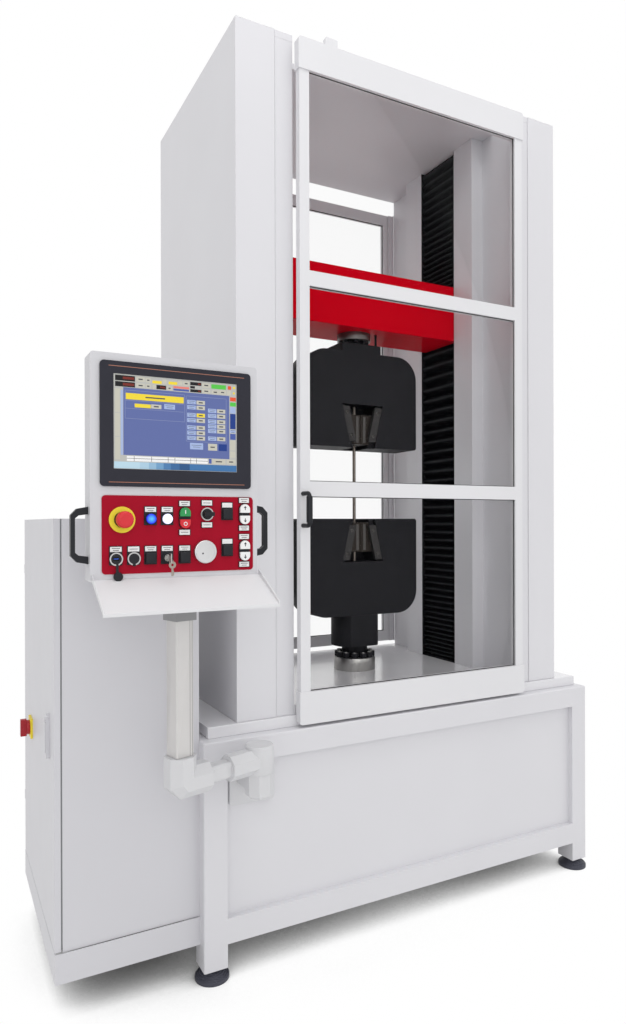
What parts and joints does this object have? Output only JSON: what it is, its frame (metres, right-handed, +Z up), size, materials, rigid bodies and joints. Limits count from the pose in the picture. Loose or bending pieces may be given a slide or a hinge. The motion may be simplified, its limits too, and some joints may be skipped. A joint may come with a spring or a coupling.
{
  "type": "universal testing machine",
  "caption": "Two-column floor-standing testing machine with screw-driven crosshead, wedge grips, framed doors, side cabinet and control panel on a swivel arm.",
  "frame": {"origin": "middle of the footprint at floor level", "axes": "+Z up, +X to the right seen from the operator's side, -Y towards the operator"},
  "size_m": [1.9376, 1.1949, 2.77],
  "materials": {
    "white_paint": "satin light grey paint",
    "white_profile": "white coated profile",
    "bare_profile": "brushed",
    "red_paint": "gloss red paint",
    "panel_red": "satin crimson",
    "blued_steel": "black oxide",
    "jaw_steel": "oiled dark steel",
    "steel": "turned",
    "bellows_black": "coated folded cloth",
    "black_rubber": "ribbed",
    "pane": "clear",
    "black_plastic": "fine grain",
    "screen": "dark bezel and glass",
    "module_grey": "module cases",
    "signal_red": "gloss",
    "signal_green": "gloss",
    "signal_blue": "lit",
    "signal_white": "gloss"
  },
  "bodies": {
    "frame": {"base_frame": "white_paint", "base_panels": "white_paint", "levelling_feet": "black_rubber", "table_plate": "white_paint", "column_covers": "white_paint", "column_inner_covers": "white_paint", "guide_posts": "steel", "top_plate": "white_paint", "screw_bearings": "steel", "upper_bellows": "bellows_black", "lower_bellows": "bellows_black", "servo_motor": "black_plastic", "drive_belt": "black_rubber", "lower_grip_body": "blued_steel", "lower_jaw_plates": "blued_steel", "grip_post": "blued_steel", "lower_flange": "steel", "specimen": "steel", "door_fittings": "white_paint", "cabinet_body": "white_paint", "electrical_gear": "module_grey", "arm_bracket": "white_paint"},
    "crosshead": {"crosshead_beam": "red_paint", "crosshead_nuts": "steel", "load_cell": "steel", "grip_adapter": "blued_steel", "upper_grip_body": "blued_steel", "upper_jaw_plates": "blued_steel"},
    "left_screw": {"left_ball_screw": "steel"},
    "right_screw": {"right_ball_screw": "steel"},
    "motor_shaft": {"motor_pulley": "steel"},
    "front_door": {"front_door_frame": "white_profile", "front_door_panes": "pane", "front_door_handle": "black_plastic"},
    "rear_door": {"rear_door_frame": "white_profile", "rear_door_pane": "pane"},
    "cabinet_leaf": {"cabinet_door": "white_paint"},
    "main_switch": {"main_switch_handle": "signal_red"},
    "arm": {"swivel_arm": "white_paint"},
    "panel": {"post_tube": "bare_profile", "panel_enclosure": "white_paint", "screen_unit": "screen", "control_plate": "panel_red", "panel_handles": "black_plastic", "switch_bezels": "black_plastic"},
    "upper_left_jaw": {"upper_left_jaw": "jaw_steel"},
    "upper_right_jaw": {"upper_right_jaw": "jaw_steel"},
    "lower_left_jaw": {"lower_left_jaw": "jaw_steel"},
    "lower_right_jaw": {"lower_right_jaw": "jaw_steel"},
    "estop_button": {"estop_button": "signal_red"},
    "reset_button": {"reset_button": "signal_blue"},
    "start_button": {"start_button": "signal_green"},
    "stop_button": {"stop_button": "signal_red"},
    "mode_selector": {"mode_selector": "black_plastic"},
    "key_switch": {"key_switch": "steel"},
    "speed_dial": {"speed_dial": "steel"},
    "jog_up_fast": {"jog_up_fast": "signal_white"},
    "jog_down_fast": {"jog_down_fast": "signal_white"},
    "jog_up_slow": {"jog_up_slow": "signal_white"},
    "jog_down_slow": {"jog_down_slow": "signal_white"}
  },
  "joints": [
    {"name": "crosshead_travel", "type": "slide", "parent": "frame", "child": "crosshead", "axis": [0, 0, 1], "range_m": [-0.15, 0.3], "deforming": ["upper_bellows", "lower_bellows"]},
    {"name": "left_screw_turn", "type": "hinge", "parent": "frame", "child": "left_screw", "pos_m": [-0.32525, 0.15051, 0.972], "axis": [0, 0, 1], "continuous": true},
    {"name": "right_screw_turn", "type": "hinge", "parent": "frame", "child": "right_screw", "pos_m": [0.73475, 0.15051, 0.972], "axis": [0, 0, 1], "continuous": true},
    {"name": "motor_turn", "type": "hinge", "parent": "frame", "child": "motor_shaft", "pos_m": [0.20475, 0.35051, 0.572], "axis": [0, 0, 1], "continuous": true},
    {"name": "front_door_swing", "type": "hinge", "parent": "frame", "child": "front_door", "pos_m": [0.65675, -0.25449, 1.712], "axis": [0, 0, 1], "range_deg": [0, 110]},
    {"name": "rear_door_swing", "type": "hinge", "parent": "frame", "child": "rear_door", "pos_m": [-0.24725, 0.55551, 1.712], "axis": [0, 0, 1], "range_deg": [0, 110]},
    {"name": "cabinet_door_swing", "type": "hinge", "parent": "frame", "child": "cabinet_leaf", "pos_m": [-0.92725, 0.43651, 0.672], "axis": [0, 0, -1], "range_deg": [0, 100]},
    {"name": "main_switch_turn", "type": "hinge", "parent": "cabinet_leaf", "child": "main_switch", "pos_m": [-0.94525, 0.24151, 0.647], "axis": [-1, 0, 0], "range_deg": [0, 90]},
    {"name": "arm_swivel", "type": "hinge", "parent": "frame", "child": "arm", "pos_m": [-0.41725, -0.37449, 0.642], "axis": [0, 0, 1], "range_deg": [0, 60]},
    {"name": "panel_swivel", "type": "hinge", "parent": "arm", "child": "panel", "pos_m": [-0.66225, -0.44151, 0.714], "axis": [0, 0, 1], "range_deg": [-30, 30]},
    {"name": "upper_left_jaw_slide", "type": "slide", "parent": "crosshead", "child": "upper_left_jaw", "axis": [-0.2195, 0, 0.9756], "range_m": [0, 0.028]},
    {"name": "upper_right_jaw_slide", "type": "slide", "parent": "crosshead", "child": "upper_right_jaw", "axis": [0.2195, 0, 0.9756], "range_m": [0, 0.028]},
    {"name": "lower_left_jaw_slide", "type": "slide", "parent": "frame", "child": "lower_left_jaw", "axis": [-0.2195, 0, -0.9756], "range_m": [0, 0.028]},
    {"name": "lower_right_jaw_slide", "type": "slide", "parent": "frame", "child": "lower_right_jaw", "axis": [0.2195, 0, -0.9756], "range_m": [0, 0.028]},
    {"name": "estop_push", "type": "slide", "parent": "panel", "child": "estop_button", "axis": [0, 1, 0], "range_m": [0, 0.006], "stiffness_N_per_m": 900},
    {"name": "reset_push", "type": "slide", "parent": "panel", "child": "reset_button", "axis": [0, 1, 0], "range_m": [0, 0.0035], "stiffness_N_per_m": 500},
    {"name": "start_push", "type": "slide", "parent": "panel", "child": "start_button", "axis": [0, 1, 0], "range_m": [0, 0.0035], "stiffness_N_per_m": 500},
    {"name": "stop_push", "type": "slide", "parent": "panel", "child": "stop_button", "axis": [0, 1, 0], "range_m": [0, 0.0035], "stiffness_N_per_m": 500},
    {"name": "jog_up_fast_push", "type": "slide", "parent": "panel", "child": "jog_up_fast", "axis": [0, 1, 0], "range_m": [0, 0.0035], "stiffness_N_per_m": 500},
    {"name": "jog_down_fast_push", "type": "slide", "parent": "panel", "child": "jog_down_fast", "axis": [0, 1, 0], "range_m": [0, 0.0035], "stiffness_N_per_m": 500},
    {"name": "jog_up_slow_push", "type": "slide", "parent": "panel", "child": "jog_up_slow", "axis": [0, 1, 0], "range_m": [0, 0.0035], "stiffness_N_per_m": 500},
    {"name": "jog_down_slow_push", "type": "slide", "parent": "panel", "child": "jog_down_slow", "axis": [0, 1, 0], "range_m": [0, 0.0035], "stiffness_N_per_m": 500},
    {"name": "mode_turn", "type": "hinge", "parent": "panel", "child": "mode_selector", "pos_m": [-0.60125, -0.47949, 1.314], "axis": [0, -1, 0], "range_deg": [-45, 45]},
    {"name": "key_turn", "type": "hinge", "parent": "panel", "child": "key_switch", "pos_m": [-0.70325, -0.47949, 1.207], "axis": [0, -1, 0], "range_deg": [0, 90]},
    {"name": "dial_turn", "type": "hinge", "parent": "panel", "child": "speed_dial", "pos_m": [-0.60775, -0.47949, 1.22], "axis": [0, -1, 0], "range_deg": [-135, 135]}
  ],
  "couplings": [
    {"joint": "left_screw_turn", "follows": "crosshead_travel", "rad_per_m": -314.16},
    {"joint": "right_screw_turn", "follows": "crosshead_travel", "rad_per_m": -314.16},
    {"joint": "motor_turn", "follows": "crosshead_travel", "rad_per_m": -549.78},
    {"joint": "upper_right_jaw_slide", "follows": "upper_left_jaw_slide", "ratio": 1},
    {"joint": "lower_right_jaw_slide", "follows": "lower_left_jaw_slide", "ratio": 1}
  ]
}
